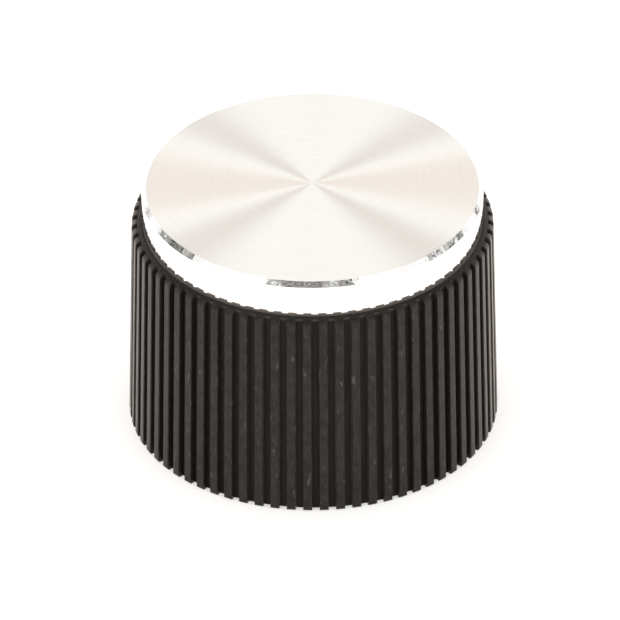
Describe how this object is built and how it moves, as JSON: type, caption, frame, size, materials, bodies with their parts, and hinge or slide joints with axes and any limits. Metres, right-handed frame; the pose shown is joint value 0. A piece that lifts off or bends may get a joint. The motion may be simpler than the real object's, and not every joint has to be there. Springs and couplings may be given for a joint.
{
  "type": "control knob",
  "caption": "Round push-on control knob: drafted grip with fine vertical flutes, hollow underside with a slotted shaft hub, and a proud spun metal cap with a bright chamfer.",
  "frame": {"origin": "centre of the foot, in the plane that the knob stands on", "axes": "+Z along the shaft axis from the foot to the cap; a rib tip lies on each end of the Y axis"},
  "size_m": [0.0254, 0.0254, 0.0182],
  "materials": {
    "grip_plastic": "warm black moulded plastic, fine satin grain, light handling scuffs on the rib tips",
    "cap_aluminium": "face spun with fine concentric lines, chamfer and side wall bright turned",
    "spring_steel": "plain tempered strip, satin"
  },
  "bodies": {
    "root": {"fluted_body": "grip_plastic", "spun_cap": "cap_aluminium", "hub_spring": "spring_steel"}
  },
  "joints": []
}
